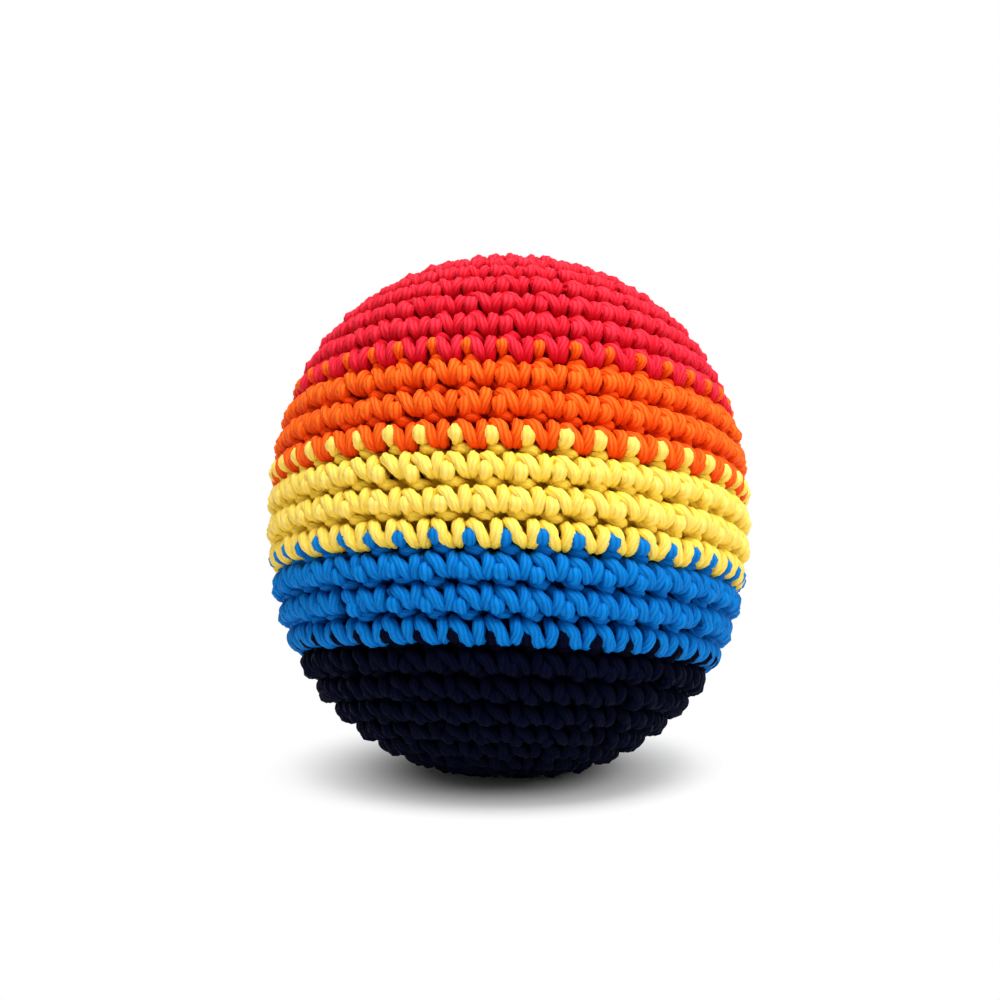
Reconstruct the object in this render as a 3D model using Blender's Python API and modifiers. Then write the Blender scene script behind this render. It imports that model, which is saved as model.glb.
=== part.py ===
# Crocheted footbag, a soft ball for kicking games.
# The cover is one spiral of single crochet, worked from the lower pole to the upper pole
# in five colours of yarn. Each stitch grows out of a stitch of the row below it. The ball
# is filled with loose plastic pellets, and the yarn ends are knotted inside it.
# Metres, +Z up. The ball stands on z = 0 with its poles leaning back, as it was set down.

import math

import bmesh
import bpy
import numpy as np
from mathutils import Euler, Vector

# Ball, measured over the crests of the rows
ball_radius = 0.0250
ball_half_height = 0.0270
profile_power = 2.22
lean_angle = math.radians(12.7)
roll_angle = math.radians(0.8)
rest_flat_depth = 0.0006

# Cover: how thick the crochet is, and how wide one stitch is
cover_wall = 0.0030
stitch_width = 0.00325
lobe_depth = 0.0007
tip_depth = 0.0017
tip_drop = 0.00055
lobe_rise = 0.00050
ring_radius = 0.0006
seam_gap = 0.00040

# Rows of each colour, from the lower pole upwards
colour_rows = (("navy", 8), ("blue", 3), ("yellow", 3), ("orange", 3), ("red", 10))
first_row_share = 0.235
last_row_share = 1.0
least_stitches = 6
drift_share = 0.18

# Yarn ends, knotted at each change of colour
yarn_diameter = 0.0012
knot_diameter = 0.0027
knot_length_share = 0.35
tail_length = 0.0055
join_points = 13

# Pellets, lying level inside the ball
pellet_diameter = 0.0033
pellet_height = 0.0025
pellet_edge = 0.0004
pellet_spacing = 0.0004
pellet_rings = 3
heap_rings = 1
pellet_sides = 8
pellet_bevel_angle = math.radians(60)

# Clearances and mesh steps
seat_gap = 0.0003
fill_gap = 0.00045
pellet_room = 0.0006
cut_overrun = 0.0100
merge_distance = 0.00001
profile_samples = 1441
fill_profile_points = 19
fill_steps = 36
level_steps = 541

colours = {
    "navy": (0.0027, 0.0032, 0.0116),
    "blue": (0.0040, 0.1180, 0.4530),
    "yellow": (0.9130, 0.6720, 0.0760),
    "orange": (0.8300, 0.0680, 0.0045),
    "red": (0.7680, 0.0095, 0.0210),
    "pellet": (0.7200, 0.7100, 0.6700),
}


def clear_scene():
    for old in list(bpy.data.objects):
        bpy.data.objects.remove(old)


def make_collection(name):
    group = bpy.data.collections.new(name)
    bpy.context.scene.collection.children.link(group)
    return group


def make_material(name, colour, roughness, metallic=0.0):
    material = bpy.data.materials.new(name)
    material.use_nodes = True
    shader = material.node_tree.nodes["Principled BSDF"]
    shader.inputs["Base Color"].default_value = (*colour, 1.0)
    shader.inputs["Roughness"].default_value = roughness
    shader.inputs["Metallic"].default_value = metallic
    return material


# Profile of the ball: a squared ellipse, measured along its outline from the lower pole
sweep = np.linspace(-math.pi / 2, math.pi / 2, profile_samples)
profile_radii = ball_radius * np.cos(sweep).clip(0, 1) ** (2 / profile_power)
profile_heights = ball_half_height * np.sign(sweep) * np.abs(np.sin(sweep)) ** (2 / profile_power)
profile_steps = np.hypot(np.diff(profile_radii), np.diff(profile_heights))
profile_arc = np.concatenate([[0], np.cumsum(profile_steps)])
outward_radii = np.gradient(profile_heights, profile_arc)
outward_heights = -np.gradient(profile_radii, profile_arc)

row_total = sum(count for colour, count in colour_rows)
row_height = profile_arc[-1] / (row_total + first_row_share + last_row_share)


def profile_point(climb, depth):
    """Radius and height at a distance along the outline, some depth below the crests."""
    radius = np.interp(climb, profile_arc, profile_radii)
    height = np.interp(climb, profile_arc, profile_heights)
    radius -= depth * np.interp(climb, profile_arc, outward_radii)
    height -= depth * np.interp(climb, profile_arc, outward_heights)
    return max(float(radius), 0), float(height)


def ball_point(climb, turn, depth):
    """A point of the ball. The turn starts at the back and goes round by the right."""
    radius, height = profile_point(climb, depth)
    return Vector((radius * math.sin(turn), radius * math.cos(turn), height))


def row_stitches(row):
    """How many stitches fit round a row: an even number, as rounds are worked in halves."""
    radius, height = profile_point(row_height * (row + 1 + first_row_share), 0)
    return max(least_stitches, 2 * round(math.pi * radius / stitch_width))


row_counts = [row_stitches(row) for row in range(row_total)]
row_starts = [sum(row_counts[:row]) for row in range(row_total + 1)]
round_turn = 2 * math.pi * (1 - drift_share / max(row_counts))


def line_place(index):
    """Climb and turn of a point on the line that the rows meet on.

    Even points lie in the gaps between stitches, where the stitch below shows as a lobe.
    Odd points are the tips of the stitches, which reach down into the row below.
    """
    stitch = min(index // 2, row_starts[-1] - 1)
    row = max(row for row in range(row_total) if row_starts[row] <= stitch)
    share = (index / 2 - row_starts[row]) / row_counts[row]
    turn = round_turn * (row + share)
    climb = row_height * (turn / round_turn + first_row_share)
    if index < 2 * row_counts[0]:
        return ring_radius, turn
    return climb + (-tip_drop if index % 2 else lobe_rise), turn


line_end = 2 * row_starts[-1]
line_places = [line_place(index) for index in range(line_end + 1)]


def first_child(row, stitch):
    """The line point above the side of a stitch, where its first child begins."""
    share = row_counts[row + 1] / row_counts[row]
    return 2 * (row_starts[row + 1] + math.ceil(stitch * share - 0.5))


def stitch_outline(row, stitch):
    """Line points under a stitch and over it, both in the direction of work.

    Points of the ring that closes the upper pole are numbered on from the end of the line.
    """
    start = 2 * (row_starts[row] + stitch)
    below = [start, start + 1, start + 2]
    if row == 0 and stitch == row_counts[0] - 1:
        below.insert(2, 0)
    if row < row_total - 1:
        return below, list(range(first_child(row, stitch), first_child(row, stitch + 1) + 1))
    above = [line_end + 1 + stitch, line_end + 1 + (stitch + 1) % row_counts[row]]
    if stitch == 0:
        above.insert(0, line_end)
    return below, above


class Band:
    """One colour of the cover: an open shell of stitches with a wall and a rim."""

    def __init__(self, first_row, end_row):
        self.first_row = first_row
        self.end_row = end_row
        self.mesh = bmesh.new()
        self.outer = {}
        self.inner = {}

    def shift(self, index):
        """Half the seam, up from the colour below and down from the colour above."""
        for row, way in ((self.first_row, 1), (self.end_row, -1)):
            if 0 < row < row_total and 2 * row_starts[row] <= index <= 2 * row_starts[row + 1]:
                return way * seam_gap / 2
        return 0

    def place(self, index):
        if index > line_end:
            share = (index - line_end - 1) / row_counts[-1]
            return profile_arc[-1] - ring_radius, round_turn * (row_total - 1 + share)
        climb, turn = line_places[index]
        shift = self.shift(index)
        if shift and index // 2 in row_starts and index % 2 == 0:
            radius, height = profile_point(climb, 0)
            turn += shift / radius
        return climb + shift, turn

    def vertex(self, table, index, depth):
        if index not in table:
            table[index] = self.mesh.verts.new(ball_point(*self.place(index), depth))
        return table[index]

    def groove_depth(self, index):
        return tip_depth if index < line_end and index % 2 else lobe_depth

    def crest(self, row, below, above):
        """The top of a stitch's swelling, between the middles of its foot and its head."""
        foot = line_places[below[1]][1]
        head = sum(self.place(index)[1] for index in above) / len(above)
        if row < row_total - 1:
            head -= 2 * math.pi
        climb = row_height * (foot / round_turn + first_row_share + 0.5)
        if row == 0:
            climb = (ring_radius + self.place(above[0])[0]) / 2
        if row == row_total - 1:
            foot = head
            climb = (self.place(below[0])[0] + profile_arc[-1] - ring_radius) / 2
        return self.mesh.verts.new(ball_point(climb, (foot + head) / 2, 0))

    def add_stitch(self, row, stitch):
        below, above = stitch_outline(row, stitch)
        outline = below + above[::-1]
        outer = [self.vertex(self.outer, index, self.groove_depth(index)) for index in outline]
        crest = self.crest(row, below, above)
        for corner, following in zip(outer, outer[1:] + outer[:1]):
            self.mesh.faces.new((crest, following, corner))
        inside = [index for index in outline if index > line_end or index % 2 == 0]
        self.mesh.faces.new([self.vertex(self.inner, index, cover_wall) for index in inside])

    def add_rim(self, row, way):
        """The cut edge under a row, from its first gap round to its last."""
        start, end = 2 * row_starts[row], 2 * row_starts[row + 1]
        for index in range(start, end, 2):
            outer = [self.outer[index + step] for step in range(3)]
            inner = [self.inner[index], self.inner[index + 2]]
            self.mesh.faces.new((outer[0], outer[1], inner[0])[::way])
            self.mesh.faces.new((outer[1], outer[2], inner[1])[::way])
            self.mesh.faces.new((outer[1], inner[1], inner[0])[::way])
        side = (self.outer[end], self.outer[start], self.inner[start], self.inner[end])
        self.mesh.faces.new(side[::way])

    def add_cap(self, indexes, table, way):
        self.mesh.faces.new([table[index] for index in indexes][::way])

    def build(self, name, material, group, frame):
        for row in range(self.first_row, self.end_row):
            for stitch in range(row_counts[row]):
                self.add_stitch(row, stitch)
        if self.first_row == 0:
            ring = range(2 * row_counts[0])
            self.add_cap(ring, self.outer, 1)
            self.add_cap(ring[::2], self.inner, -1)
        else:
            self.add_rim(self.first_row, 1)
        if self.end_row == row_total:
            ring = range(line_end + 1, line_end + 1 + row_counts[-1])
            self.add_cap(ring, self.outer, -1)
            self.add_cap(ring, self.inner, 1)
        else:
            self.add_rim(self.end_row, -1)
        bmesh.ops.recalc_face_normals(self.mesh, faces=self.mesh.faces)
        return add_mesh_object(name, self.mesh, material, group, frame)


def add_mesh_object(name, mesh, material, group, parent=None):
    data = bpy.data.meshes.new(name)
    mesh.to_mesh(data)
    mesh.free()
    return add_object(name, data, material, group, parent)


def add_object(name, data, material, group, parent=None):
    item = bpy.data.objects.new(name, data)
    if material:
        data.materials.append(material)
    group.objects.link(item)
    item.parent = parent
    return item


def mark_cutter(item):
    item.hide_render = True
    item.display_type = "WIRE"


def cut_away(item, cutter):
    cut = item.modifiers.new("cut_" + cutter.name, "BOOLEAN")
    cut.operation = "DIFFERENCE"
    cut.object = cutter


def add_block_cutter(name, side, height, bottom, group):
    mesh = bmesh.new()
    bmesh.ops.create_cube(mesh, size=1)
    bmesh.ops.scale(mesh, vec=(side, side, height), verts=mesh.verts)
    bmesh.ops.translate(mesh, vec=(0, 0, bottom + height / 2), verts=mesh.verts)
    cutter = add_mesh_object(name, mesh, None, group)
    mark_cutter(cutter)
    return cutter


def resting_height():
    """How high the middle of the leaning ball is above the surface that it stands on."""
    tilt = math.acos(math.cos(lean_angle) * math.cos(roll_angle))
    reach = profile_heights * -math.cos(tilt) + profile_radii * math.sin(tilt)
    return float(reach.max()) - rest_flat_depth


def add_ball_frame(group):
    """The frame of the ball, leaning back and a little to the right."""
    frame = bpy.data.objects.new("ball_frame", None)
    frame.location = (0, 0, resting_height())
    frame.rotation_euler = (-lean_angle, roll_angle, 0)
    group.objects.link(frame)
    return frame


def hollow_profile(clearance):
    """Radii and heights of the room inside the cover, from its upper pole down."""
    climbs = np.linspace(profile_arc[-1], 0, fill_profile_points)
    return [profile_point(climb, cover_wall + clearance) for climb in climbs]


def clears_cover(radius, height):
    """Whether a level circle, this high above the middle of the ball, fits in its cover."""
    radii, heights = zip(*reversed(hollow_profile(pellet_room)))
    upright = Euler((-lean_angle, roll_angle, 0)).to_matrix().transposed()
    for step in range(fill_steps):
        turn = 2 * math.pi * step / fill_steps
        spot = upright @ Vector((radius * math.cos(turn), radius * math.sin(turn), height))
        if math.hypot(spot.x, spot.y) > np.interp(spot.z, heights, radii):
            return False
    return True


def find_pellet_level():
    """The highest that the fill can stand, with its loose pellets under the cover."""
    pitch = pellet_diameter + pellet_spacing
    layer = pellet_height + seat_gap
    layer_radius = pellet_rings * pitch + pellet_diameter / 2
    heap_radius = heap_rings * pitch + pitch / math.sqrt(3) + pellet_diameter / 2
    for share in np.linspace(1, -1, level_steps):
        level = share * ball_half_height
        if clears_cover(layer_radius, level + layer) and clears_cover(heap_radius, level + 2 * layer):
            break
    return resting_height() + level


def add_fill(level, material, group, cutters, frame):
    """The settled pellets as one mass, turned to fit the cover and level on top."""
    mesh = bmesh.new()
    points = [mesh.verts.new((radius, 0, height)) for radius, height in hollow_profile(fill_gap)]
    for upper, lower in zip(points, points[1:]):
        mesh.edges.new((upper, lower))
    fill = add_mesh_object("pellet_fill", mesh, material, group, frame)
    turned = fill.modifiers.new("turned", "SCREW")
    turned.steps = fill_steps
    turned.render_steps = fill_steps
    turned.use_merge_vertices = True
    turned.merge_threshold = merge_distance
    side = 2 * (ball_radius + cut_overrun)
    level_cutter = add_block_cutter("cut_level", side, ball_half_height, level, cutters)
    cut_away(fill, level_cutter)
    return fill


def join_path(row):
    """Two yarn ends, knotted where the round begins and laid both ways along the row."""
    climb, turn = line_places[2 * row_starts[row]]
    bend, height = profile_point(climb, cover_wall)
    points = []
    for step in range(join_points):
        share = 2 * step / (join_points - 1) - 1
        radius = yarn_diameter / 2
        radius += (knot_diameter - yarn_diameter) / 2 * max(0, 1 - (share / knot_length_share) ** 2)
        along = share * (tail_length + knot_diameter / 2)
        points.append((climb, turn + along / bend, radius))
    return points


def add_join_curve(name, path, room, group, frame):
    """A tube on the inside of the cover. The room round it reaches into the cover's gap."""
    curve = bpy.data.curves.new(name, "CURVE")
    curve.dimensions = "3D"
    curve.bevel_depth = yarn_diameter / 2
    curve.bevel_resolution = 1
    curve.use_fill_caps = True
    spline = curve.splines.new("POLY")
    spline.points.add(len(path) - 1)
    for point, (climb, turn, radius) in zip(spline.points, path):
        depth = cover_wall + seat_gap + radius - room / 2
        point.co = (*ball_point(climb, turn, depth), 1)
        point.radius = (radius + room) / curve.bevel_depth
    return add_object(name, curve, None, group, frame)


def solid_from_curve(item, group, frame):
    """The same shape as a closed mesh, because a curve can't cut."""
    bpy.context.view_layer.update()
    name = item.name
    evaluated = item.evaluated_get(bpy.context.evaluated_depsgraph_get())
    data = bpy.data.meshes.new_from_object(evaluated)
    mesh = bmesh.new()
    mesh.from_mesh(data)
    bmesh.ops.remove_doubles(mesh, verts=mesh.verts, dist=merge_distance)
    bmesh.ops.recalc_face_normals(mesh, faces=mesh.faces)
    bpy.data.objects.remove(item)
    return add_mesh_object(name, mesh, None, group, frame)


def add_joins(fill, materials, group, cutters, frame):
    row = 0
    for (lower, count), (upper, next_count) in zip(colour_rows, colour_rows[1:]):
        row += count
        path = join_path(row)
        join = add_join_curve(f"join_{lower}_{upper}", path, 0, group, frame)
        join.data.materials.append(materials[upper])
        room = add_join_curve(f"room_{lower}_{upper}", path, 2 * seat_gap, cutters, frame)
        cutter = solid_from_curve(room, cutters, frame)
        mark_cutter(cutter)
        cut_away(fill, cutter)


def hexagon_places(rings, pitch):
    """Middles of close-packed round things, ring after ring from the centre."""
    places = [(0, 0)]
    for ring in range(1, rings + 1):
        for side in range(6):
            corner = math.radians(60 * side)
            along = math.radians(60 * side + 120)
            for step in range(ring):
                x = ring * math.cos(corner) + step * math.cos(along)
                y = ring * math.sin(corner) + step * math.sin(along)
                places.append((x * pitch, y * pitch))
    return places


def pellet_mesh(material):
    mesh = bmesh.new()
    bmesh.ops.create_cone(
        mesh, cap_ends=True, segments=pellet_sides,
        radius1=pellet_diameter / 2, radius2=pellet_diameter / 2, depth=pellet_height)
    data = bpy.data.meshes.new("pellet")
    mesh.to_mesh(data)
    mesh.free()
    data.materials.append(material)
    return data


def add_pellets(level, material, group):
    """The top pellets, in a level layer with a small heap on its middle."""
    pitch = pellet_diameter + pellet_spacing
    floor = level + seat_gap + pellet_height / 2
    heap = floor + pellet_height + seat_gap
    hollow = (pitch / 2, pitch / (2 * math.sqrt(3)))
    places = [(x, y, floor) for x, y in hexagon_places(pellet_rings, pitch)]
    places += [(x + hollow[0], y + hollow[1], heap) for x, y in hexagon_places(heap_rings, pitch)]
    data = pellet_mesh(material)
    for number, place in enumerate(places, start=1):
        pellet = bpy.data.objects.new(f"pellet_{number:02d}", data)
        pellet.location = place
        pellet.rotation_euler = (0, 0, math.radians(360 * number / len(places)))
        edge = pellet.modifiers.new("rounded", "BEVEL")
        edge.width = pellet_edge
        edge.segments = 1
        edge.limit_method = "ANGLE"
        edge.angle_limit = pellet_bevel_angle
        group.objects.link(pellet)


def build_footbag():
    clear_scene()
    group = make_collection("footbag")
    cutters = make_collection("cutters")
    materials = {
        name: make_material("yarn_" + name, colours[name], 0.62) for name, count in colour_rows
    }
    pellet = make_material("pellet_plastic", colours["pellet"], 0.35)
    frame = add_ball_frame(group)
    side = 2 * (ball_radius + cut_overrun)
    ground = add_block_cutter("cut_ground", side, cut_overrun, -cut_overrun, cutters)
    row = 0
    for name, count in colour_rows:
        band = Band(row, row + count).build("cover_" + name, materials[name], group, frame)
        if row == 0:
            cut_away(band, ground)
        row += count
    level = find_pellet_level()
    fill = add_fill(level, pellet, group, cutters, frame)
    add_joins(fill, materials, group, cutters, frame)
    add_pellets(level, pellet, group)


build_footbag()
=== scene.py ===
# Crocheted footbag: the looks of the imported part.
# The cover is drawn as the yarn itself. Five lengths of it run in one spiral of single
# crochet from the lower pole to the upper pole, and each stitch is a V that comes out of
# a hole under the chain of the row below, with its own chain link on top.
# Metres, +Z up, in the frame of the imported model.

import math

import bpy
import numpy as np
from mathutils import Euler, Matrix, Vector
from mathutils.bvhtree import BVHTree


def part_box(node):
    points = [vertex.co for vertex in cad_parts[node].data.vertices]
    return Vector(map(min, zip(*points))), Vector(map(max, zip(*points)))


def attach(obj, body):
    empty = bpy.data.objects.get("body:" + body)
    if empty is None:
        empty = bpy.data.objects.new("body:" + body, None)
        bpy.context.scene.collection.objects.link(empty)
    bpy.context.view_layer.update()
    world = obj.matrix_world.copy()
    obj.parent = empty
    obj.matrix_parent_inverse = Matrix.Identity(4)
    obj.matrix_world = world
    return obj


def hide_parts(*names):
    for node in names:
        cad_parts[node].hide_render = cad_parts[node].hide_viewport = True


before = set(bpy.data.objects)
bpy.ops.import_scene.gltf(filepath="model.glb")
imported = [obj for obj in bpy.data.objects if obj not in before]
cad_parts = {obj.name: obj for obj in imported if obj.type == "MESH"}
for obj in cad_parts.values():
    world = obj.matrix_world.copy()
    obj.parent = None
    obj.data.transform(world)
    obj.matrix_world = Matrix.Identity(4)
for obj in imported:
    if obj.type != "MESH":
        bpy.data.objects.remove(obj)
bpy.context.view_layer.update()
print("frame loaded:", len(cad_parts), "nodes")

# the ball, over the crests of its rows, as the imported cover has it
ball = {
    "radius": 0.0250,
    "halfHeight": 0.0270,
    "power": 2.22,  # 2 is an ellipse, more is squarer
    "lean": math.radians(12.7),  # of the upper pole, away from the camera
    "roll": math.radians(0.8),
    "restFlat": 0.0006,  # how far the cover gives where it stands
    "samples": 1441,
}

# the spiral of stitches
crochet = {
    "stitchWidth": 0.00325,
    "firstRow": 0.235,  # shares of a row at the two poles
    "lastRow": 1.0,
    "leastStitches": 6,
    "drift": 0.18,  # how far a column leans in a row, in stitches
    "together": 0.25,  # how far two stitches in one hole are drawn together
    "poleRing": 0.0005,
    # rows whose holes lie further right, in stitches
    "rowShifts": {6: 0.12, 7: 0.33, 8: 0.20, 9: 0.08},
    # how much thicker the yarn at the back of some rows is, from this depth in yarn radii
    "backing": {0: 1.4, 1: 1.35, 2: 1.3, 3: 1.2},
    "backDepth": 4,
    "seed": 11,
}

# The colours from the lower pole up: how many rows, what is different at their edges,
# and the yarn in linear light: on its crowns lighter, a painted highlight; on its sides its
# own colour; and deep in the work darker, painted shade.
bands = {
    "navy": {
        "rows": 8,
        "gloss": 0.02,
        "edges": {"lift": -0.6, "rise": 0.04},
        "crown": (0.0014, 0.0027, 0.0165),
        "side": (0.0005, 0.0010, 0.0065),
        "deep": (0.0002, 0.0003, 0.0012),
    },
    "blue": {
        "rows": 3,
        "gloss": 0.05,
        "edges": {"open": 0.11, "sink": 1.5, "leftLeg": 1.08, "lift": -0.6, "rise": 0.05},
        "crown": (0.0010, 0.2200, 0.6100),
        "side": (0.0006, 0.1200, 0.4300),
        "deep": (0.0005, 0.0160, 0.0950),
    },
    "yellow": {
        "rows": 3,
        "edges": {"open": 0.12, "sink": 1.6, "leftLeg": 0.97},
        "crown": (0.8900, 0.6800, 0.2300),
        "side": (0.8700, 0.6100, 0.0600),
        "deep": (0.7800, 0.4700, 0.0180),
    },
    "orange": {
        "rows": 3,
        "edges": {"rise": 0.10, "lobe": 0.76, "lift": -0.15},
        "crown": (0.9000, 0.1950, 0.0170),
        "side": (0.8000, 0.0600, 0.0010),
        "deep": (0.5800, 0.0260, 0.0010),
    },
    "red": {
        "rows": 10,
        "crown": (0.8400, 0.0450, 0.0820),
        "side": (0.6400, 0.0040, 0.0160),
        "deep": (0.4300, 0.0008, 0.0036),
    },
}


# the ball's outline, swept from the lower pole to the upper pole
sweep = np.linspace(-math.pi / 2, math.pi / 2, ball["samples"])
profileRadii = ball["radius"] * np.cos(sweep).clip(0, 1) ** (2 / ball["power"])
profileHeights = ball["halfHeight"] * np.sign(sweep) * np.abs(np.sin(sweep)) ** (2 / ball["power"])
profileArc = np.concatenate(
    [[0], np.cumsum(np.hypot(np.diff(profileRadii), np.diff(profileHeights)))])
outRadii = np.gradient(profileHeights, profileArc)
outHeights = -np.gradient(profileRadii, profileArc)

# how the leaning ball stands on the floor
tilt = math.acos(math.cos(ball["lean"]) * math.cos(ball["roll"]))
reach = profileHeights * -math.cos(tilt) + profileRadii * math.sin(tilt)
restHeight = float(reach.max()) - ball["restFlat"]
ballTurn = Euler((-ball["lean"], ball["roll"], 0)).to_matrix()

rowTotal = sum(band["rows"] for band in bands.values())
rowHeight = profileArc[-1] / (rowTotal + crochet["firstRow"] + crochet["lastRow"])


def ballPoints(climbs, turns, depths):
    # turn 0 is at the back and goes round by the right; climb runs up from the lower pole
    climbs = np.clip(climbs, crochet["poleRing"], profileArc[-1] - crochet["poleRing"])
    radii = np.interp(climbs, profileArc, profileRadii)
    radii = radii - depths * np.interp(climbs, profileArc, outRadii)
    heights = np.interp(climbs, profileArc, profileHeights)
    heights = heights - depths * np.interp(climbs, profileArc, outHeights)
    radii = np.maximum(radii, 0)
    local = np.stack([radii * np.sin(turns), radii * np.cos(turns), heights], axis=1)
    return local @ np.array(ballTurn).T + np.array((0, 0, restHeight))


def rowStitches(row):
    # an even number that fits round the ball there
    radius = np.interp(rowHeight * (row + 1 + crochet["firstRow"]), profileArc, profileRadii)
    return max(crochet["leastStitches"], 2 * round(math.pi * radius / crochet["stitchWidth"]))


rowCounts = [rowStitches(row) for row in range(rowTotal)]
roundTurn = 2 * math.pi * (1 - crochet["drift"] / max(rowCounts))
print("stitches in each row:", rowCounts)


def lineClimb(turn):
    # how far up the line between two rows is
    return rowHeight * (turn / roundTurn + crochet["firstRow"])


def rowHoles(row):
    # how far round the holes over a row are, and the feet of the row that stands in them
    count, nextCount = rowCounts[row], rowCounts[min(row + 1, rowTotal - 1)]
    feet = (np.arange(nextCount) + 0.5) / nextCount
    number = np.clip(np.round(feet * count - 0.5), 0, count - 1).astype(int)
    used = np.unique(number)
    middles = np.array([feet[number == hole].mean() for hole in used])
    holes = np.interp(np.arange(count), used, middles)
    feet += crochet["together"] * (holes[number] - feet)
    shift = crochet["rowShifts"].get(row, 0) / count
    return holes - shift, feet - shift


holesOver = {}
feetUnder = {0: (np.arange(rowCounts[0]) + 0.5) / rowCounts[0]}
for row in range(rowTotal):
    holesOver[row], feetUnder[row + 1] = rowHoles(row)


def headHole(row, place):
    # turn of the hole over a stitch, where the next row stands
    return roundTurn * (row + 1 + holesOver[row][place])


def footHole(row, place):
    # turn of the hole that a stitch stands in
    return roundTurn * (row + feetUnder[row][place])


yarn = {
    "radius": 0.00058,
    "sides": 12,
    "plies": 4,
    "plyDepth": 0.18,  # how deep the grooves between plies are, in yarn radii
    "plyPower": 4,  # more makes them narrower
    "lay": 0.0070,  # length in which the plies go round once
    "deep": 0.0026,  # how far under the crests the hollow attribute, the mask of the painted shade, is 1
}

# how uneven the stitches are, as standard deviations
wander = {
    "stitch": 0.03,  # in stitches and rows
    "point": 0.008,
    "stitchDepth": 0.06,  # in yarn radii
    "pointDepth": 0.03,
    "thickness": 0.025,
}

# One stitch, in the order that its yarn runs, worked from right to left. Each point has
# where it is measured from (the hole that the stitch stands in, or the hole over it), the
# part of the stitch that it goes with, stitches to the right, rows up, depth of the yarn's
# middle in yarn radii, thickness, and how many rings of the tube lead on to the next point.
stitch = [
    # up the right leg of the V
    ("foot", "rightLeg", 0.12, 0.14, 4.3, 0.90, 1),
    ("foot", "rightLeg", 0.05, 0.00, 3.3, 0.85, 1),
    ("foot", "rightLeg", 0.05, -0.01, 2.1, 0.96, 2),
    ("foot", "rightLeg", 0.065, 0.09, 1.18, 1.05, 2),
    ("foot", "rightLeg", 0.08, 0.24, 1.00, 1.10, 2),
    ("foot", "rightLeg", 0.08, 0.37, 1.06, 1.07, 2),
    ("foot", "rightLeg", 0.05, 0.48, 1.6, 1.00, 2),
    # over the top inside, and down the left leg
    ("foot", "inside", -0.04, 0.55, 2.6, 0.92, 1),
    ("foot", "inside", -0.25, 0.60, 3.4, 0.95, 1),
    ("foot", "inside", -0.54, 0.58, 3.3, 0.92, 1),
    ("foot", "leftLeg", -0.65, 0.51, 2.4, 0.96, 2),
    ("foot", "leftLeg", -0.59, 0.47, 1.55, 1.03, 2),
    ("foot", "leftLeg", -0.48, 0.41, 1.08, 1.09, 2),
    ("foot", "leftLeg", -0.36, 0.30, 0.98, 1.11, 2),
    ("foot", "leftLeg", -0.26, 0.16, 0.98, 1.11, 2),
    ("foot", "leftLeg", -0.18, 0.05, 1.25, 1.06, 2),
    ("foot", "leftLeg", -0.13, -0.02, 2.1, 0.94, 1),
    ("foot", "back", -0.10, 0.02, 3.3, 0.85, 1),
    # up behind
    ("foot", "leftLeg", -0.37, 0.05, 3.3, 1.05, 1),
    ("foot", "inside", -0.16, 0.30, 3.5, 1.10, 1),
    ("foot", "inside", 0.28, 0.38, 3.3, 1.10, 1),
    ("head", "back", 0.34, -0.28, 4.6, 1.15, 2),
    ("head", "back", 0.10, -0.30, 4.9, 1.15, 1),
    # the front of the chain link: a dim part in the groove,
    ("head", "groove", -0.20, -0.26, 3.9, 0.90, 1),
    ("head", "groove", -0.33, -0.25, 2.6, 0.92, 2),
    ("head", "groove", -0.43, -0.24, 2.00, 0.98, 2),
    ("head", "groove", -0.54, -0.24, 2.05, 0.97, 2),
    ("head", "groove", -0.66, -0.22, 2.7, 0.90, 1),
    ("head", "lobeEnd", -0.80, -0.08, 3.2, 0.95, 1),
    # and a round lobe between two Vs of the next row
    ("head", "lobeEnd", -0.86, 0.22, 3.5, 0.90, 1),
    ("head", "lobeEnd", -0.80, 0.50, 2.9, 0.70, 1),
    ("head", "lobeEnd", -0.76, 0.43, 1.60, 0.70, 2),
    ("head", "lobeEnd", -0.71, 0.31, 2.10, 0.74, 2),
    ("head", "lobeTop", -0.64, 0.20, 1.38, 1.08, 3),
    ("head", "lobe", -0.61, 0.08, 0.80, 1.32, 3),
    ("head", "lobe", -0.61, -0.04, 1.45, 1.14, 3),
    ("head", "lobe", -0.65, -0.09, 2.9, 0.88, 1),
    # round its end and back behind
    ("head", "lobeEnd", -1.00, 0.02, 4.3, 1.10, 1),
    ("head", "lobeEnd", -1.34, 0.00, 4.4, 1.25, 1),
    ("head", "back", -1.22, -0.20, 4.8, 1.30, 1),
    ("head", "back", -0.66, -0.36, 4.8, 1.30, 1),
    ("head", "back", -0.80, -0.66, 4.4, 1.25, 1),
]

# what is different where colours meet; a band may have its own values
edges = {
    # in the first row of a colour
    "drop": 0.10,  # how much lower its feet are, in rows
    "dropFrom": -0.06,  # where on the stitch that is, and over how many rows it fades
    "dropRows": 0.25,
    "open": 0.04,  # how much wider its Vs are open, in stitches
    "openAt": 0.16,
    "openRows": 0.34,
    "leftLeg": 1.0,  # thickness of the left legs of its Vs against the others
    "sink": 0.8,  # how much deeper the yarn behind its Vs lies, in yarn radii
    # in the last row of a colour
    "rise": 0.08,  # how much higher its lobes reach, in rows
    "lobe": 1.0,  # thickness of its lobes against the others
    "lobeOut": 1.3,  # how far a thinner lobe comes out again, in yarn radii
    "lift": 0.25,  # how far its lobes stand out, in yarn radii
    "liftShares": {"lobeTop": 1, "lobe": 0.3},
    "end": 1.6,  # how much deeper the inner ends of its lobes lie
}


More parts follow.
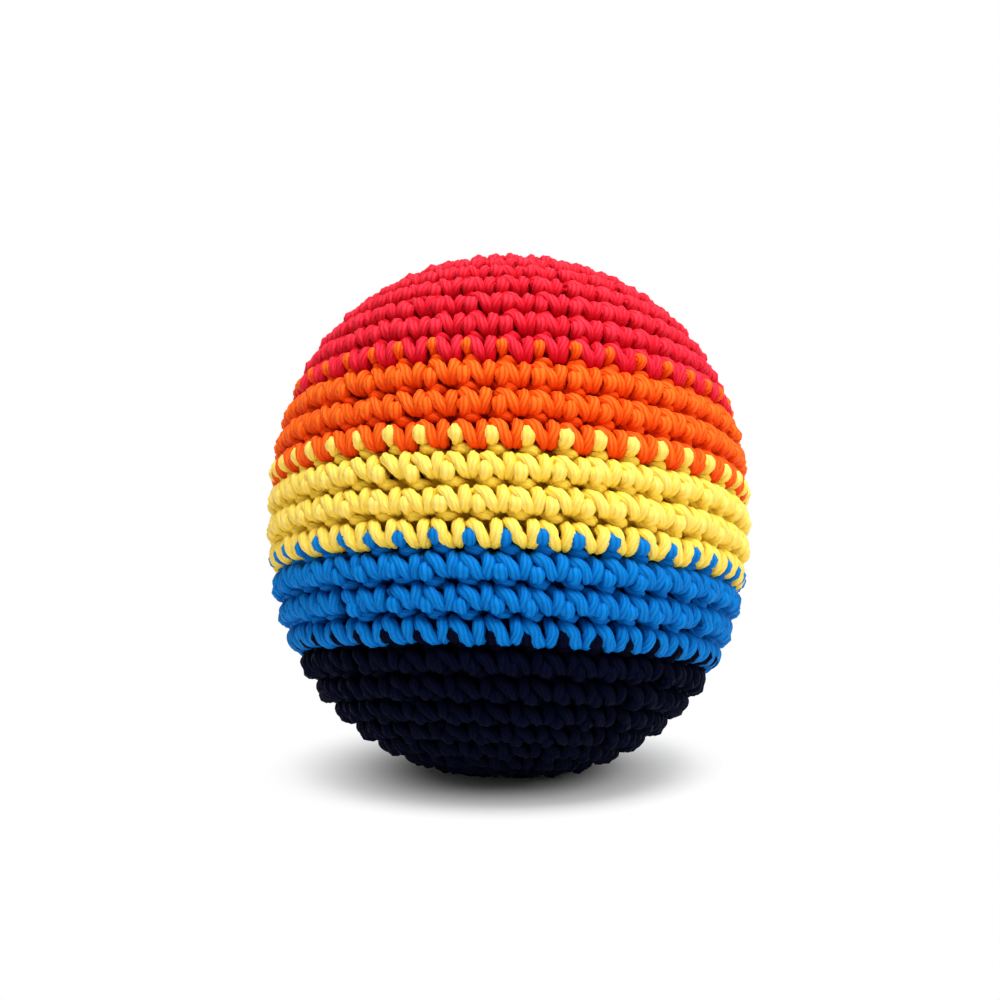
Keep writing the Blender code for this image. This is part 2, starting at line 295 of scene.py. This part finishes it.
def atEdge(point, inFirstRow, inLastRow, edge):
    # a point of a stitch where colours meet
    anchor, part, right, up, depth, size, rings = point
    if inFirstRow and anchor == "foot":
        if part == "inside":
            depth += edge["sink"]
        elif part == "leftLeg":
            right -= edge["open"] * max(0, 1 - abs(up - edge["openAt"]) / edge["openRows"])
            size *= edge["leftLeg"]
        up -= edge["drop"] * max(0, 1 - (up - edge["dropFrom"]) / edge["dropRows"])
    if inLastRow and part == "lobeEnd":
        depth += edge["end"]
    elif inLastRow and part in edge["liftShares"]:
        depth -= edge["lift"] * edge["liftShares"][part] + edge["lobeOut"] * (1 - edge["lobe"])
        size *= edge["lobe"]
        up += edge["rise"]
    return anchor, right, up, depth, size, rings


def stitchPath(firstRow, band, rng):
    # points, thicknesses and ring counts of the yarn through the rows of a colour
    climbs, turns, depths, sizes, steps = [], [], [], [], []
    edge = {**edges, **band.get("edges", {})}
    lastRow = firstRow + band["rows"] - 1
    for row in range(firstRow, lastRow + 1):
        width = roundTurn / rowCounts[row]
        for place in range(rowCounts[row]):
            middles = {"foot": footHole(row, place), "head": headHole(row, place)}
            shifts = (rng.normal(0, wander["point"], (len(stitch), 2))
                      + rng.normal(0, wander["stitch"], 2))
            sinks = (rng.normal(0, wander["pointDepth"], len(stitch))
                     + rng.normal(0, wander["stitchDepth"]))
            for point, (aside, above), sink in zip(stitch, shifts, sinks):
                anchor, right, up, depth, size, rings = atEdge(
                    point, row == firstRow, row == lastRow, edge)
                if depth > crochet["backDepth"]:
                    size *= crochet["backing"].get(row, 1)
                middle = middles[anchor]
                climbs.append(lineClimb(middle - right * width) + (up + above) * rowHeight)
                turns.append(middle - (right + aside) * width)
                depths.append((depth + sink) * yarn["radius"])
                sizes.append(size * (1 + rng.normal(0, wander["thickness"])))
                steps.append(rings)
    points = ballPoints(np.array(climbs), np.array(turns), np.array(depths))
    return points, np.array(sizes) * yarn["radius"], np.array(steps)


# the yarn's start and its end, each coiled inside a pole to close it
coil = {
    "reach": 0.0027,  # from the pole, along the cover
    "inner": 0.06,  # share of the reach at the coil's middle
    "pitch": 0.0010,
    "depth": 2.7,  # in yarn radii
    "points": 30,
    "rings": 2,
}


def poleCoil(pole):
    # from the outside of the coil to its middle, at the pole that is so far up
    share = np.linspace(1, coil["inner"], coil["points"])
    climbs = abs(pole - share * coil["reach"])
    turns = 2 * math.pi * (1 - share) * coil["reach"] / coil["pitch"]
    depths = np.full(coil["points"], coil["depth"] * yarn["radius"])
    points = ballPoints(climbs, turns, depths)
    return points, np.full(len(points), yarn["radius"]), np.full(len(points), coil["rings"])


def joinPaths(first, second):
    # two stretches of one yarn, each with its points, thicknesses and ring counts
    return [np.concatenate(pair) for pair in zip(first, second)]


def smoothPath(points, sizes, steps):
    # a curve through the points, with as many rings between two as steps says
    steps = steps[:-1]
    segment = np.repeat(np.arange(len(steps)), steps)
    begin = np.cumsum(steps) - steps
    share = ((np.arange(steps.sum()) - begin[segment]) / steps[segment])[:, None]
    values = np.column_stack([points, sizes])
    padded = np.vstack([values[0], values, values[-1]])
    before, start, end, after = (padded[segment + shift] for shift in range(4))
    curve = 0.5 * (
        2 * start + (end - before) * share
        + (2 * before - 5 * start + 4 * end - after) * share ** 2
        + (3 * start - before - 3 * end + after) * share ** 3)
    curve = np.vstack([curve, values[-1]])
    return curve[:, :3], curve[:, 3]


def tubeFrames(path):
    # directions across the path that turn as little as they can
    along = np.gradient(path, axis=0)
    along /= np.linalg.norm(along, axis=1)[:, None]
    across = np.zeros_like(path)
    first = np.cross(along[0], (0.3, 0.5, 0.8))  # any direction off the path will do
    across[0] = first / np.linalg.norm(first)
    for ring in range(1, len(path)):
        direction = across[ring - 1] - along[ring] * (across[ring - 1] @ along[ring])
        across[ring] = direction / np.linalg.norm(direction)
    return across, np.cross(along, across)


def ballDepth(spots):
    # how far under the crests of the rows
    local = (spots - np.array((0, 0, restHeight))) @ np.array(ballTurn)
    radii = np.hypot(local[:, 0], local[:, 1]) / ball["radius"]
    heights = np.abs(local[:, 2]) / ball["halfHeight"]
    size = (radii ** ball["power"] + heights ** ball["power"]) ** (1 / ball["power"])
    return (1 - size) * ball["radius"]


def pressFlat(spots):
    # gives way softly where the ball stands, and stays over the floor
    flat, heights = ball["restFlat"], spots[:, 2]
    given = flat * np.exp(np.minimum(heights / flat, 1) - 1)
    spots[:, 2] = np.where(heights < flat, given, heights)


def strandCorners(laid):
    # for each corner of each face, how far round the yarn and along it, both in lays
    sides = yarn["sides"]
    column = np.arange(sides)[None, :]
    left, right = column / sides, (column + 1) / sides
    begin, end = laid[:-1, None], laid[1:, None]
    low, high = (np.repeat(row, sides, axis=1) for row in (begin, end))
    corners = np.stack([
        left + begin, low, right + begin, low, right + end, high, left + end, high], axis=2)
    return np.concatenate([corners.reshape(-1), np.zeros(4 * sides)])  # the two ends have none


def addYarn(name, points, sizes, steps, material):
    path, radii = smoothPath(points, sizes, steps)
    across, over = tubeFrames(path)
    length = np.concatenate([[0], np.cumsum(np.linalg.norm(np.diff(path, axis=0), axis=1))])
    laid = length / yarn["lay"]
    sides, rings = yarn["sides"], len(path)
    column = np.arange(sides)
    angle = 2 * math.pi * (column[None, :] / sides + laid[:, None])
    dip = np.cos(math.pi * column * yarn["plies"] / sides) ** yarn["plyPower"]
    ring = radii[:, None] * (1 - yarn["plyDepth"] * dip[None, :])
    spots = path[:, None, :] + ring[..., None] * (
        np.cos(angle)[..., None] * across[:, None, :] + np.sin(angle)[..., None] * over[:, None, :])
    spots = spots.reshape(-1, 3)
    pressFlat(spots)
    begin = np.arange(rings - 1)[:, None] * sides
    nextColumn = (column + 1) % sides
    faces = np.stack([
        begin + column, begin + nextColumn,
        begin + sides + nextColumn, begin + sides + column], axis=2).reshape(-1, 4)
    ends = [list(range(sides))[::-1], list(range((rings - 1) * sides, rings * sides))]
    mesh = bpy.data.meshes.new(name)
    mesh.from_pydata(spots.tolist(), [], faces.tolist() + ends)
    strand = mesh.uv_layers.new(name="strand")
    strand.data.foreach_set("uv", strandCorners(laid).astype(np.float32))
    # depth under the crests: the deeper, the less painted highlight and the more painted shade
    hollow = mesh.attributes.new("hollow", "FLOAT", "POINT")
    hollows = np.clip(ballDepth(spots) / yarn["deep"], 0, 1)
    hollow.data.foreach_set("value", hollows.astype(np.float32))
    mesh.materials.append(material)
    mesh.shade_smooth()
    item = bpy.data.objects.new(name, mesh)
    bpy.context.scene.collection.objects.link(item)
    return item


def newMaterial(name):
    material = bpy.data.materials.new(name)
    material.use_nodes = True
    return material, material.node_tree, material.node_tree.nodes["Principled BSDF"]


def addNode(tree, kind, place, **values):
    node = tree.nodes.new(kind)
    node.location = place
    for key, value in values.items():
        setattr(node, key, value)
    return node


def feed(tree, socket, value):
    # links another node's output, or sets a number or a colour
    if isinstance(value, bpy.types.NodeSocket):
        tree.links.new(value, socket)
    else:
        socket.default_value = value


def addMath(tree, operation, place, *values):
    node = addNode(tree, "ShaderNodeMath", place, operation=operation)
    for socket, value in zip(node.inputs, values):
        feed(tree, socket, value)
    return node.outputs[0]


def addNoise(tree, place, vector, scale, detail):
    noise = addNode(tree, "ShaderNodeTexNoise", place)
    for name, value in (("Vector", vector), ("Scale", scale), ("Detail", detail)):
        feed(tree, noise.inputs[name], value)
    return noise.outputs["Fac"]


def addRange(tree, place, value, start, end, low=0.0, high=1.0, **settings):
    node = addNode(tree, "ShaderNodeMapRange", place, **settings)
    for name, number in (("Value", value), ("From Min", start), ("From Max", end),
                         ("To Min", low), ("To Max", high)):
        feed(tree, node.inputs[name], number)
    return node.outputs[0]


def addMix(tree, place, share, first, second):
    node = addNode(tree, "ShaderNodeMix", place, data_type="RGBA")
    for number, value in ((0, share), (6, first), (7, second)):
        feed(tree, node.inputs[number], value)
    return node.outputs[2]


# how the yarn of every colour looks, with a painted highlight on its crowns and painted shade in
# its grooves and deep in the work
finishAndPaintedLight = {
    "gloss": 0.07,
    "roughness": 0.5,
    "roughStreak": 0.3,
    "fibre": 0.5,  # strength of the bump, and its height
    "fibreHeight": 0.00010,
    "fibreStretch": (7, 7, 5),  # fibres across the yarn and along it
    "fibreDetail": 3.0,
    "strands": 8,  # threads that show round the yarn
    "groovePower": 3.0,
    "blotchScale": 420.0,
    "blotchDetail": 2.0,
    # how much each of these takes a crown's colour, a painted highlight, to the side's: blotch and
    # streak are the yarn's own uneven tone, groove and hollow are painted shade
    "blotch": 0.30,
    "streak": 0.50,
    "groove": 0.55,
    "hollow": 0.7,
    "hollowBy": 0.28,  # the hollow attribute at which that is reached
    # where on the hollow attribute the deep colour, painted shade, begins and is whole
    "deepFrom": 0.45,
    "deepBy": 0.70,
    # how much more of the painted shade the grooves between threads take
    "deepGrooveShade": 0.12,
}


def yarnGroup():
    # colour, roughness and fibre bump of plied yarn from its strand UVs; the colour holds a painted
    # highlight on the crowns and painted shade in the grooves and deep in the work
    tree = bpy.data.node_groups.new("pliedYarn", "ShaderNodeTree")
    for way, kind, names in (
            ("INPUT", "Color", ("Crown", "Side", "Deep")),
            ("INPUT", "Float", ("Roughness", "Fibre", "Strands")),
            ("OUTPUT", "Color", ("Colour",)),
            ("OUTPUT", "Float", ("Roughness",)),
            ("OUTPUT", "Vector", ("Normal",))):
        for name in names:
            tree.interface.new_socket(name, in_out=way, socket_type="NodeSocket" + kind)
    given = addNode(tree, "NodeGroupInput", (-1400, 0)).outputs
    result = addNode(tree, "NodeGroupOutput", (800, 0)).inputs
    strand = addNode(tree, "ShaderNodeUVMap", (-1400, 400), uv_map="strand")
    parts = addNode(tree, "ShaderNodeSeparateXYZ", (-1200, 400))
    feed(tree, parts.inputs[0], strand.outputs["UV"])
    around, along = parts.outputs[0], parts.outputs[1]
    # a point on a cylinder, so that the fibres join up round the strand
    turn = addMath(tree, "MULTIPLY", (-1000, 500), around, 2 * math.pi)
    cylinder = addNode(tree, "ShaderNodeCombineXYZ", (-640, 480))
    feed(tree, cylinder.inputs[0], addMath(tree, "COSINE", (-820, 560), turn))
    feed(tree, cylinder.inputs[1], addMath(tree, "SINE", (-820, 420), turn))
    feed(tree, cylinder.inputs[2], along)
    stretched = addNode(tree, "ShaderNodeVectorMath", (-460, 480), operation="MULTIPLY")
    feed(tree, stretched.inputs[0], cylinder.outputs[0])
    feed(tree, stretched.inputs[1], finishAndPaintedLight["fibreStretch"])
    fibre = addNoise(tree, (-280, 480), stretched.outputs[0], 1.0, finishAndPaintedLight["fibreDetail"])
    # 1 in the groove between two threads
    across = addMath(tree, "SUBTRACT", (-1000, 200), around, along)
    phase = addMath(tree, "MULTIPLY", (-820, 200), across, given["Strands"])
    angle = addMath(tree, "MULTIPLY", (-640, 200), phase, math.pi)
    wave = addMath(tree, "COSINE", (-460, 200), angle)
    square = addMath(tree, "MULTIPLY", (-280, 200), wave, wave)
    groove = addMath(tree, "POWER", (-100, 200), square, finishAndPaintedLight["groovePower"])
    # from the crown's colour, a painted highlight, to the side's: slow changes of tone over the
    # work, fibre streaks, and painted shade in the grooves
    here = addNode(tree, "ShaderNodeTexCoord", (-1400, -300))
    blotch = addNoise(tree, (-1000, -300), here.outputs["Object"],
                      finishAndPaintedLight["blotchScale"], finishAndPaintedLight["blotchDetail"])
    mottled = addMath(tree, "MULTIPLY", (-640, -200), blotch, finishAndPaintedLight["blotch"])
    streak = addMath(tree, "MULTIPLY", (-100, 400), fibre, finishAndPaintedLight["streak"])
    dark = addMath(tree, "ADD", (60, 300), mottled, streak)
    paintedGrooveShade = addMath(tree, "MULTIPLY", (60, 120), groove, finishAndPaintedLight["groove"])
    shade = addMath(tree, "ADD", (220, 220), dark, paintedGrooveShade)
    # painted shade under the crests: the deeper, the less of the painted highlight
    hollow = addNode(tree, "ShaderNodeAttribute", (-640, -500), attribute_name="hollow")
    sunken = addRange(tree, (100, -500), hollow.outputs["Fac"], 0.0, finishAndPaintedLight["hollowBy"])
    toSide = addMath(tree, "MULTIPLY_ADD", (260, -500), sunken, finishAndPaintedLight["hollow"], shade)
    sides = addMix(tree, (400, 300), toSide, given["Crown"], given["Side"])
    # and on to the deep one: painted shade deep in the work and in the grooves
    deeper = addRange(tree, (100, -700), hollow.outputs["Fac"],
                      finishAndPaintedLight["deepFrom"], finishAndPaintedLight["deepBy"])
    toPaintedShade = addMath(tree, "MULTIPLY_ADD", (420, -600), groove, finishAndPaintedLight["deepGrooveShade"], deeper)
    feed(tree, result["Colour"], addMix(tree, (600, 300), toPaintedShade, sides, given["Deep"]))
    rough = addMath(tree, "MULTIPLY", (220, -40), streak, finishAndPaintedLight["roughStreak"])
    feed(tree, result["Roughness"],
         addMath(tree, "ADD", (400, -40), rough, given["Roughness"]))
    bump = addNode(tree, "ShaderNodeBump", (400, -200))
    feed(tree, bump.inputs["Distance"], finishAndPaintedLight["fibreHeight"])
    feed(tree, bump.inputs["Strength"], given["Fibre"])
    feed(tree, bump.inputs["Height"], addMath(tree, "SUBTRACT", (220, -200), fibre, groove))
    feed(tree, result["Normal"], bump.outputs["Normal"])
    return tree


pliedYarn = yarnGroup()


def yarnMaterial(name, band):
    material, tree, shader = newMaterial(name)
    shader.inputs["Specular IOR Level"].default_value = band.get("gloss", finishAndPaintedLight["gloss"])
    group = addNode(tree, "ShaderNodeGroup", (-300, 200), node_tree=pliedYarn)
    # the crown colour is a painted highlight, the side colour the yarn's own, the deep colour
    # painted shade
    for part in ("crown", "side", "deep"):
        group.inputs[part.capitalize()].default_value = (*band[part], 1)
    for part in ("roughness", "fibre", "strands"):
        group.inputs[part.capitalize()].default_value = finishAndPaintedLight[part]
    feed(tree, shader.inputs["Base Color"], group.outputs["Colour"])
    feed(tree, shader.inputs["Roughness"], group.outputs["Roughness"])
    feed(tree, shader.inputs["Normal"], group.outputs["Normal"])
    return material


# the cover, one length of yarn for each colour
rng = np.random.default_rng(crochet["seed"])
yarnMaterials = {}
row = 0
for name, band in bands.items():
    yarnMaterials[name] = yarnMaterial("yarn_" + name, band)
    path = stitchPath(row, band, rng)
    if row == 0:
        path = joinPaths(poleCoil(0), path)
    row += band["rows"]
    if row == rowTotal:
        path = joinPaths(path, poleCoil(profileArc[-1]))
    strand = addYarn("crochet_" + name, *path, yarnMaterials[name])
    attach(strand, "root")
    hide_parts("cover_" + name)
    print("crochet_" + name, len(strand.data.polygons), "faces")

# the knots where a colour ends and the next begins, on the inside of the cover
knots = {
    "radius": 0.00062,
    "loop": 0.0011,  # how wide the knot's loops are
    "loopDepth": 0.3,  # how deep they are against that
    "loopShare": 0.45,  # share of each half that they go round in
    "knotShare": 0.5,  # and share of it in which they open out
    "points": 25,
    "rings": 4,
}


def knotPath(node):
    # an overhand knot with both tails laid along the inside of the cover
    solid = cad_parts[node]
    places = np.array([vertex.co for vertex in solid.data.vertices])
    centre = places.mean(axis=0)
    spread = np.linalg.svd(places - centre, full_matrices=False)[2]
    along = spread[0] / np.linalg.norm(spread[0])
    outward = centre - np.array((0, 0, restHeight))
    outward -= along * (outward @ along)
    outward /= np.linalg.norm(outward)
    aside = np.cross(along, outward)
    # half the solid's length, and how it bends with the cover
    half = np.abs((places - centre) @ along).max() - knots["radius"]
    bend = np.polyfit((places - centre) @ along / half, (places - centre) @ outward, 2)
    path = []
    for step in np.linspace(-1, 1, knots["points"]):
        # the knot is the middle part of the path, its tails are the rest
        turn = np.clip(step / knots["loopShare"], -1, 1) * math.pi
        inKnot = max(0.0, 1 - abs(step) / knots["knotShare"])
        opened = min(1, 2 * inKnot)
        slide = np.sin(turn) * -knots["loop"] * inKnot + step * half
        sideways = knots["loop"] * np.sin(2 * turn) * opened
        deep = knots["loop"] * np.cos(3 * turn) * opened * knots["loopDepth"]
        path.append(centre + along * slide + aside * sideways
                    + outward * (np.polyval(bend, slide / half) + deep))
    return np.array(path)


def addKnots():
    order = list(bands)
    for lower, upper in zip(order, order[1:]):
        node = "join_" + lower + "_" + upper
        path = knotPath(node)
        knot = addYarn(
            "knot_" + lower + "_" + upper, path, np.full(len(path), knots["radius"]),
            np.full(len(path), knots["rings"]), yarnMaterials[upper])
        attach(knot, "root")
        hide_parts(node)
        print("knot_" + lower + "_" + upper, len(knot.data.polygons), "faces")


addKnots()

# the pellets: short moulded cylinders, poured in
pellets = {
    "diameter": 0.0033,
    "height": 0.0025,
    "sides": 10,
    "edge": 0.0004,  # bevel of the two rims
    "rimAngle": math.radians(60),  # flatter edges than this get no bevel
    "smoothAngle": math.radians(50),
    "pitch": 0.00385,  # from one pellet's middle to the next
    "room": 0.00175,  # from a pellet's middle to the outside of the fill
    "jitter": 0.00012,
    "tip": 0.5,  # how far a pellet leans over at most, in radians
    "seed": 5,
    "colour": (0.72, 0.71, 0.67),
    "shade": (0.60, 0.59, 0.55),
    "shadeScale": 300.0,
    "gloss": 0.3,
    "smoothest": 0.45,
    "roughest": 0.75,
    "grainScale": 6000.0,
    "grainBump": 0.25,
    "grainHeight": 0.00005,
}


def modelPellet(material):
    # a moulded cylinder with rounded rims
    bpy.ops.object.select_all(action="DESELECT")
    bpy.ops.mesh.primitive_cylinder_add(
        vertices=pellets["sides"], radius=pellets["diameter"] / 2, depth=pellets["height"])
    pellet = bpy.context.object
    bevel = pellet.modifiers.new("edge", "BEVEL")
    bevel.width = pellets["edge"]
    bevel.limit_method = "ANGLE"
    bevel.angle_limit = pellets["rimAngle"]
    bpy.ops.object.modifier_apply(modifier="edge")
    bpy.ops.object.shade_smooth_by_angle(angle=pellets["smoothAngle"])
    pellet.data.materials.append(material)
    return pellet


def pelletPlaces(solid):
    # close-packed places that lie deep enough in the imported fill
    low, high = (np.array(corner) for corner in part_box(solid.name))
    tree = BVHTree.FromPolygons(
        [vertex.co for vertex in solid.data.vertices],
        [face.vertices for face in solid.data.polygons])
    pitch, room = pellets["pitch"], pellets["room"]
    layerRise, lineStep = pitch * math.sqrt(2 / 3), pitch * math.sqrt(3) / 2
    places = []
    layer = 0
    height = high[2] - room
    while height > low[2]:
        shift = (layer % 3) * np.array((0.5 * pitch, lineStep / 3))
        for line, y in enumerate(np.arange(low[1], high[1], lineStep)):
            for x in np.arange(low[0] + (line % 2) * pitch / 2, high[0], pitch):
                spot = Vector((x + shift[0], y + shift[1], height))
                nearest, outward, _, distance = tree.find_nearest(spot)
                inBall = ballDepth(np.array([spot]))[0] > room
                if inBall and distance >= room and (spot - nearest).dot(outward) < 0:
                    places.append(spot)
        layer += 1
        height -= layerRise
    return places


def addPellets(material):
    pellet = modelPellet(material)
    rng = np.random.default_rng(pellets["seed"])
    copies = []
    for spot in pelletPlaces(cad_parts["pellet_fill"]):
        tips = rng.uniform(-pellets["tip"], pellets["tip"], 2).tolist()
        lean = Euler(tips + [rng.uniform(0, math.pi)])
        place = spot + Vector(rng.normal(0, pellets["jitter"], 3))
        mesh = pellet.data.copy()
        mesh.transform(Matrix.Translation(place) @ lean.to_matrix().to_4x4())
        copies.append(bpy.data.objects.new("pellet", mesh))
        bpy.context.scene.collection.objects.link(copies[-1])
    bpy.ops.object.select_all(action="DESELECT")
    for item in copies:
        item.select_set(True)
    bpy.context.view_layer.objects.active = copies[0]
    bpy.ops.object.join()
    mass = copies[0]
    bpy.data.objects.remove(pellet)
    mass.name = "pellet_mass"
    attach(mass, "root")
    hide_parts("pellet_fill")
    print("pellet_mass", len(copies), "pellets,", len(mass.data.polygons), "faces")


def pelletMaterial():
    # moulded plastic, a little uneven in tone, with a fine grain
    material, tree, shader = newMaterial("pelletPlastic")
    shader.inputs["Specular IOR Level"].default_value = pellets["gloss"]
    here = addNode(tree, "ShaderNodeTexCoord", (-1100, 0)).outputs["Object"]
    tone = addNoise(tree, (-880, 200), here, pellets["shadeScale"], 2.0)
    grain = addNoise(tree, (-880, -200), here, pellets["grainScale"], 3.0)
    feed(tree, shader.inputs["Base Color"], addMix(
        tree, (-500, 200), tone, (*pellets["colour"], 1), (*pellets["shade"], 1)))
    feed(tree, shader.inputs["Roughness"], addRange(
        tree, (-500, -50), grain, 0.0, 1.0, pellets["smoothest"], pellets["roughest"]))
    bump = addNode(tree, "ShaderNodeBump", (-300, -300))
    feed(tree, bump.inputs["Strength"], pellets["grainBump"])
    feed(tree, bump.inputs["Distance"], pellets["grainHeight"])
    feed(tree, bump.inputs["Height"], grain)
    feed(tree, shader.inputs["Normal"], bump.outputs["Normal"])
    return material


pelletPlastic = pelletMaterial()
addPellets(pelletPlastic)
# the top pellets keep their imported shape
for nodeName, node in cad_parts.items():
    if nodeName.startswith("pellet_") and nodeName != "pellet_fill":
        for materialSlot in node.material_slots:
            materialSlot.material = pelletPlastic
print("pellets dressed")

# a pale floor under soft lamps
stage = {
    "paper": 0.93,  # lightness of the floor
    "roughness": 0.95,
    "radius": 1.5,
    "sides": 96,
    "nearRadius": 0.008,  # the floor shows its own shade up to here
    "farRadius": 0.027,  # and is plain white to the eye from here
    "surround": 0.255,  # strength of the light from all round
}
lamps = {
    # place in metres, size, power
    "keyLamp": ((0.05, -0.18, 0.50), 0.24, 3.65),
    "sideLamp": ((0.36, -0.20, 0.26), 0.25, 0.75),
    "fillLamp": ((-0.40, -0.35, 0.15), 0.40, 0.15),
}
middle = Vector((0, 0, restHeight))


def addLamp(name, place, size, power):
    lamp = bpy.data.lights.new(name, "AREA")
    lamp.size = size
    lamp.energy = power
    item = bpy.data.objects.new(name, lamp)
    item.location = place
    item.rotation_euler = (Vector(place) - middle).to_track_quat("Z", "Y").to_euler()
    bpy.context.scene.collection.objects.link(item)


def whiteRays(tree, across, up):
    # 1 for what the camera sees, straight, in a reflection or through something clear
    ray = addNode(tree, "ShaderNodeLightPath", (across, up)).outputs
    mirrored = addMath(tree, "MAXIMUM", (across + 200, up),
                       ray["Is Camera Ray"], ray["Is Glossy Ray"])
    return addMath(tree, "MAXIMUM", (across + 400, up), mirrored, ray["Is Transmission Ray"])


def addBlend(tree, share, first, second, result):
    blend = addNode(tree, "ShaderNodeMixShader", (300, 0))
    for socket, output in zip(blend.inputs, (share, first.outputs[0], second.outputs[0])):
        tree.links.new(output, socket)
    tree.links.new(blend.outputs[0], result.inputs["Surface"])


def addFloor():
    bpy.ops.object.select_all(action="DESELECT")
    bpy.ops.mesh.primitive_circle_add(
        vertices=stage["sides"], radius=stage["radius"], fill_type="NGON")
    floor = bpy.context.object
    floor.name = "floor"
    paper, tree, shader = newMaterial("floorPaper")
    shader.inputs["Base Color"].default_value = (stage["paper"], stage["paper"], stage["paper"], 1)
    shader.inputs["Roughness"].default_value = stage["roughness"]
    shader.inputs["Specular IOR Level"].default_value = 0.0
    # plain white away from the shadow, whatever light falls there
    glow = addNode(tree, "ShaderNodeEmission", (0, -300))
    where = addNode(tree, "ShaderNodeTexCoord", (-900, -100))
    distance = addNode(tree, "ShaderNodeVectorMath", (-700, -100), operation="LENGTH")
    feed(tree, distance.inputs[0], where.outputs["Object"])
    fade = addRange(tree, (-500, -100), distance.outputs["Value"],
                    stage["nearRadius"], stage["farRadius"], interpolation_type="SMOOTHSTEP")
    seen = addMath(tree, "MULTIPLY", (0, 100), fade, whiteRays(tree, -700, 300))
    addBlend(tree, seen, shader, glow, tree.nodes["Material Output"])
    floor.data.materials.append(paper)


def addSurround():
    # soft light from all round, and plain white where the camera sees past the floor
    world = bpy.data.worlds.new("studio")
    bpy.context.scene.world = world
    world.use_nodes = True
    tree = world.node_tree
    surround = tree.nodes["Background"]
    white = addNode(tree, "ShaderNodeBackground", (0, -200))
    for background, strength in ((surround, stage["surround"]), (white, 1.0)):
        background.inputs["Color"].default_value = (1, 1, 1, 1)
        background.inputs["Strength"].default_value = strength
    addBlend(tree, whiteRays(tree, -500, 200), surround, white, tree.nodes["World Output"])


for name, (place, size, power) in lamps.items():
    addLamp(name, place, size, power)
addFloor()
addSurround()
print("lamps, floor and surround set")

photo = {
    "size": 1000,
    "ballMiddle": (508.5, 517.0),  # where the middle of the ball is, in pixels
    "focal": 1146.0,  # focal length in pixels
    "distance": 0.122,
    "elevation": math.radians(1.4),
    "nearest": 0.001,
}


def addCamera():
    # it looks a little to the left of the ball's middle and over it
    camera = bpy.data.objects.new("camera", bpy.data.cameras.new("camera"))
    bpy.context.scene.collection.objects.link(camera)
    bpy.context.scene.camera = camera
    camera.data.lens = camera.data.sensor_width * photo["focal"] / photo["size"]
    camera.data.clip_start = photo["nearest"]
    rise, level = math.sin(photo["elevation"]), math.cos(photo["elevation"])
    perPixel = photo["distance"] / photo["focal"]
    right, down = (pixel - photo["size"] / 2 for pixel in photo["ballMiddle"])
    aim = middle + Vector((0, rise, level)) * down * perPixel
    aim += Vector((-1, 0, 0)) * right * perPixel
    camera.location = middle + Vector((0, -level, rise)) * photo["distance"]
    camera.rotation_euler = (aim - camera.location).to_track_quat("-Z", "Y").to_euler()


addCamera()
bpy.context.scene.view_settings.view_transform = "Standard"
print("camera set")
